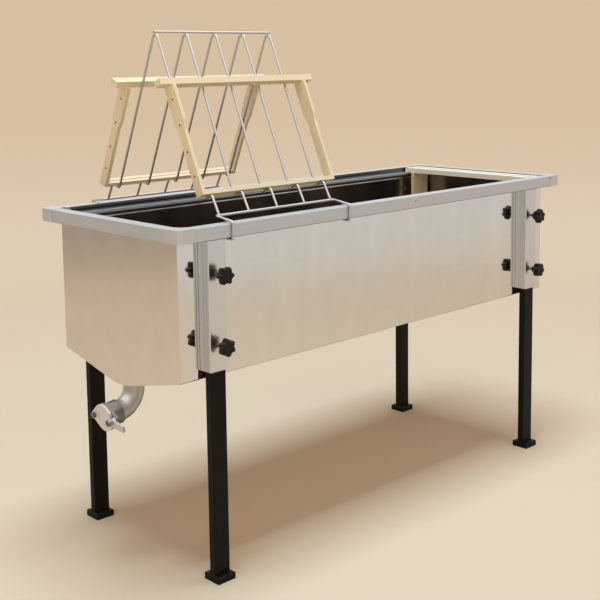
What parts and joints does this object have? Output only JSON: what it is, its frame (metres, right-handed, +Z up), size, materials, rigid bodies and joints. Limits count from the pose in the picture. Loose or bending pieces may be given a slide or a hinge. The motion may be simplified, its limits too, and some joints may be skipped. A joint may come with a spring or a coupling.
{
  "type": "uncapping tank",
  "caption": "Stainless uncapping tank on removable black legs held by star-knob clamps, with aluminium rim, wire rack for leaning hive frames, and a drain elbow with a swing gate.",
  "frame": {"origin": "on the floor under the middle of the whole object's outline, drain gate included", "axes": "+X along the tank towards the end without the drain, +Y towards the back, +Z up"},
  "size_m": [1.4704, 0.595, 1.2483],
  "materials": {
    "stainless_sheet": "satin",
    "strainer_sheet": "satin",
    "rim_aluminium": "matt drawn",
    "corner_aluminium": "matt cast",
    "clamp_aluminium": "matt drawn",
    "black_tube": "satin powder coat",
    "black_foot": "matt",
    "black_knob": "satin",
    "stud_steel": "zinc plated",
    "rivet_steel": "satin",
    "outlet_steel": "satin",
    "gate_cast": "cast",
    "gate_steel": "zinc plated",
    "seal_rubber": "matt",
    "rack_wire": "satin",
    "pine": "planed, untreated"
  },
  "bodies": {
    "tank": {"trough_shell": "stainless_sheet", "left_end_plate": "stainless_sheet", "right_end_plate": "stainless_sheet", "strainer": "strainer_sheet", "rim_front": "rim_aluminium", "rim_back": "rim_aluminium", "rim_left": "rim_aluminium", "rim_right": "rim_aluminium", "rim_corners": "corner_aluminium", "leg_clamp_fl": "clamp_aluminium", "leg_clamp_fr": "clamp_aluminium", "leg_clamp_bl": "clamp_aluminium", "leg_clamp_br": "clamp_aluminium", "clamp_rivets": "rivet_steel", "outlet_elbow": "outlet_steel", "gate_body": "gate_cast", "gate_seal": "seal_rubber", "gate_pivot_bolt": "gate_steel"},
    "leg_fl": {"leg_fl": "black_tube", "foot_fl": "black_foot"},
    "leg_fr": {"leg_fr": "black_tube", "foot_fr": "black_foot"},
    "leg_bl": {"leg_bl": "black_tube", "foot_bl": "black_foot"},
    "leg_br": {"leg_br": "black_tube", "foot_br": "black_foot"},
    "knob_fl_upper": {"knob_fl_upper": "black_knob", "stud_fl_upper": "stud_steel"},
    "knob_fl_lower": {"knob_fl_lower": "black_knob", "stud_fl_lower": "stud_steel"},
    "knob_fr_upper": {"knob_fr_upper": "black_knob", "stud_fr_upper": "stud_steel"},
    "knob_fr_lower": {"knob_fr_lower": "black_knob", "stud_fr_lower": "stud_steel"},
    "knob_bl_upper": {"knob_bl_upper": "black_knob", "stud_bl_upper": "stud_steel"},
    "knob_bl_lower": {"knob_bl_lower": "black_knob", "stud_bl_lower": "stud_steel"},
    "knob_br_upper": {"knob_br_upper": "black_knob", "stud_br_upper": "stud_steel"},
    "knob_br_lower": {"knob_br_lower": "black_knob", "stud_br_lower": "stud_steel"},
    "gate_flap": {"gate_flap": "gate_cast"},
    "gate_lever": {"gate_lever_screw": "gate_steel"},
    "rack": {"rack_loops": "rack_wire", "rack_ridge": "rack_wire", "rack_front_rail": "rack_wire", "rack_back_rail": "rack_wire"},
    "front_frame": {"front_frame_top_bar": "pine", "front_frame_side_bars": "pine", "front_frame_bottom_bar": "pine"},
    "back_frame": {"back_frame_top_bar": "pine", "back_frame_side_bars": "pine", "back_frame_bottom_bar": "pine"},
    "inner_frame": {"inner_frame_top_bar": "pine", "inner_frame_side_bars": "pine", "inner_frame_bottom_bar": "pine"},
    "outer_frame": {"outer_frame_top_bar": "pine", "outer_frame_side_bars": "pine", "outer_frame_bottom_bar": "pine"}
  },
  "joints": [
    {"name": "leg_fl_slide", "type": "slide", "parent": "tank", "child": "leg_fl", "axis": [0, 0, -1], "range_m": [0, 0.2]},
    {"name": "leg_fr_slide", "type": "slide", "parent": "tank", "child": "leg_fr", "axis": [0, 0, -1], "range_m": [0, 0.2]},
    {"name": "leg_bl_slide", "type": "slide", "parent": "tank", "child": "leg_bl", "axis": [0, 0, -1], "range_m": [0, 0.2]},
    {"name": "leg_br_slide", "type": "slide", "parent": "tank", "child": "leg_br", "axis": [0, 0, -1], "range_m": [0, 0.2]},
    {"name": "knob_fl_upper_turn", "type": "hinge", "parent": "tank", "child": "knob_fl_upper", "pos_m": [-0.58181, -0.27, 0.7096], "axis": [0, -1, 0], "continuous": true},
    {"name": "knob_fl_lower_turn", "type": "hinge", "parent": "tank", "child": "knob_fl_lower", "pos_m": [-0.58181, -0.27, 0.549], "axis": [0, -1, 0], "continuous": true},
    {"name": "knob_fr_upper_turn", "type": "hinge", "parent": "tank", "child": "knob_fr_upper", "pos_m": [0.61719, -0.27, 0.7096], "axis": [0, -1, 0], "continuous": true},
    {"name": "knob_fr_lower_turn", "type": "hinge", "parent": "tank", "child": "knob_fr_lower", "pos_m": [0.61719, -0.27, 0.549], "axis": [0, -1, 0], "continuous": true},
    {"name": "knob_bl_upper_turn", "type": "hinge", "parent": "tank", "child": "knob_bl_upper", "pos_m": [-0.58181, 0.27, 0.7096], "axis": [0, 1, 0], "continuous": true},
    {"name": "knob_bl_lower_turn", "type": "hinge", "parent": "tank", "child": "knob_bl_lower", "pos_m": [-0.58181, 0.27, 0.549], "axis": [0, 1, 0], "continuous": true},
    {"name": "knob_br_upper_turn", "type": "hinge", "parent": "tank", "child": "knob_br_upper", "pos_m": [0.61719, 0.27, 0.7096], "axis": [0, 1, 0], "continuous": true},
    {"name": "knob_br_lower_turn", "type": "hinge", "parent": "tank", "child": "knob_br_lower", "pos_m": [0.61719, 0.27, 0.549], "axis": [0, 1, 0], "continuous": true},
    {"name": "gate_flap_swing", "type": "hinge", "parent": "tank", "child": "gate_flap", "pos_m": [-0.71844, 0.036, 0.35495], "axis": [0.9848, 0, 0.1736], "range_deg": [0, 100]},
    {"name": "gate_lever_turn", "type": "hinge", "parent": "tank", "child": "gate_lever", "pos_m": [-0.71844, -0.036, 0.35495], "axis": [0.9848, 0, 0.1736], "continuous": true},
    {"name": "rack_slide", "type": "slide", "parent": "tank", "child": "rack", "axis": [1, 0, 0], "range_m": [-0.003, 0.68]},
    {"name": "front_frame_lift", "type": "slide", "parent": "rack", "child": "front_frame", "axis": [0, 0, 1], "range_m": [0, 0.25]},
    {"name": "back_frame_lift", "type": "slide", "parent": "rack", "child": "back_frame", "axis": [0, 0, 1], "range_m": [0, 0.25]},
    {"name": "inner_frame_lift", "type": "slide", "parent": "tank", "child": "inner_frame", "axis": [0, 0, 1], "range_m": [0, 0.33]},
    {"name": "outer_frame_lift", "type": "slide", "parent": "tank", "child": "outer_frame", "axis": [0, 0, 1], "range_m": [0, 0.33]}
  ]
}
